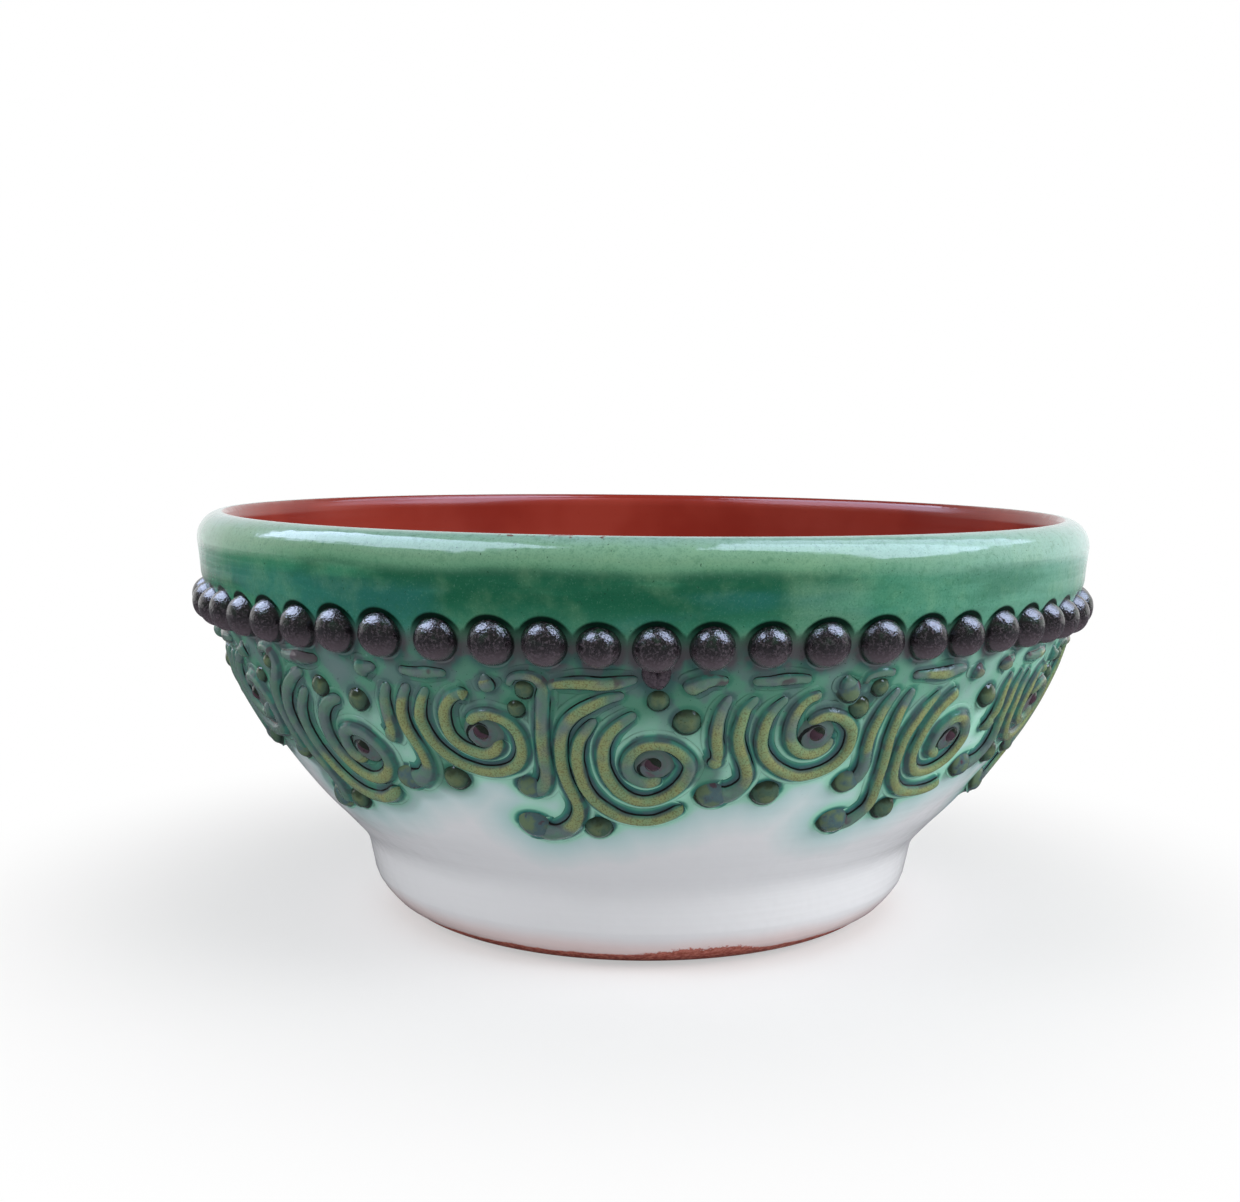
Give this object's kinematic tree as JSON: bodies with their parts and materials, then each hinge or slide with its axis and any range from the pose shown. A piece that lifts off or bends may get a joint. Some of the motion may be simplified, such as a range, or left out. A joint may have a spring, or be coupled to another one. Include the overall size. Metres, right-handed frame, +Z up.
{
  "type": "pottery bowl",
  "caption": "Thrown earthenware bowl with a rolled lip, a straight bulging foot, a ring of slip pearls and a band of trailed slip scrolls under a running glaze.",
  "frame": {"origin": "middle of the foot, on the surface that the bowl stands on", "axes": "+Z up the axis that the bowl was thrown about, -Y towards the pictured front, +X to its right"},
  "size_m": [0.2226, 0.2226, 0.0995],
  "materials": {
    "red_earthenware": "red clay under a clear gloss glaze inside, bare and matt at the bottom edge of the foot",
    "slip_and_glaze": "gloss: dark green at the lip running down to teal and then to bare white slip over the foot",
    "pearl_slip": "satin dark pewter with a metallic sheen on top",
    "trailed_slip": "gloss green glaze that breaks to olive on the crests and pools dark at the edges"
  },
  "bodies": {
    "root": {"clay_body": "red_earthenware", "slip_coat": "slip_and_glaze", "pearls": "pearl_slip", "slip_dots": "trailed_slip", "large_scroll_1": "trailed_slip", "large_scroll_2": "trailed_slip", "large_scroll_3": "trailed_slip", "large_scroll_4": "trailed_slip", "large_scroll_5": "trailed_slip", "large_scroll_6": "trailed_slip", "large_scroll_7": "trailed_slip", "large_scroll_8": "trailed_slip", "large_scroll_9": "trailed_slip", "small_scroll_1": "trailed_slip", "small_scroll_2": "trailed_slip", "small_scroll_3": "trailed_slip", "small_scroll_4": "trailed_slip", "small_scroll_5": "trailed_slip", "small_scroll_6": "trailed_slip", "small_scroll_7": "trailed_slip", "small_scroll_8": "trailed_slip", "small_scroll_9": "trailed_slip"}
  },
  "joints": []
}
